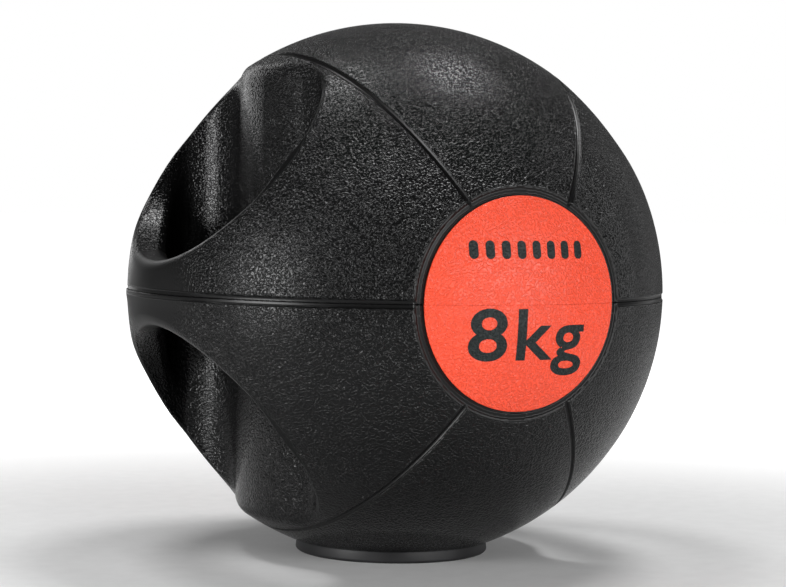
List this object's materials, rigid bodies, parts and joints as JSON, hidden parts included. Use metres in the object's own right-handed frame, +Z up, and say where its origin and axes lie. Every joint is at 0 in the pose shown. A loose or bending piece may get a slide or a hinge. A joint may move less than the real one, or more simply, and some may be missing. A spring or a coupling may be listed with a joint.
{
  "type": "medicine ball",
  "caption": "Weighted rubber exercise ball with a hand grip let into each side, a coloured disc front and back, and a flat foot to stand on.",
  "frame": {"origin": "on the floor, under the middle of the ball, at the centre of the foot's underside", "axes": "+Z up, the coloured discs face -Y and +Y, the grips are at -X and +X"},
  "size_m": [0.275, 0.275, 0.2715],
  "materials": {
    "black_rubber": "black moulded rubber with a fine leather-like pebble grain, satin",
    "disc_rubber": "orange-red rubber with the same fine pebble grain, satin",
    "foot_rubber": "smooth dark grey rubber, dull satin",
    "bladder_rubber": "smooth dull butyl rubber",
    "ballast": "loose sand and rubber granulate, matt",
    "valve_plastic": "black moulded nylon"
  },
  "bodies": {
    "root": {"upper_shell": "black_rubber", "lower_shell": "black_rubber", "front_disc_upper": "disc_rubber", "front_disc_lower": "disc_rubber", "back_disc_upper": "disc_rubber", "back_disc_lower": "disc_rubber", "foot_pad": "foot_rubber", "filler_plug": "foot_rubber", "bladder": "bladder_rubber", "ballast_fill": "ballast", "valve_boot": "foot_rubber", "valve_core": "valve_plastic"}
  },
  "joints": []
}
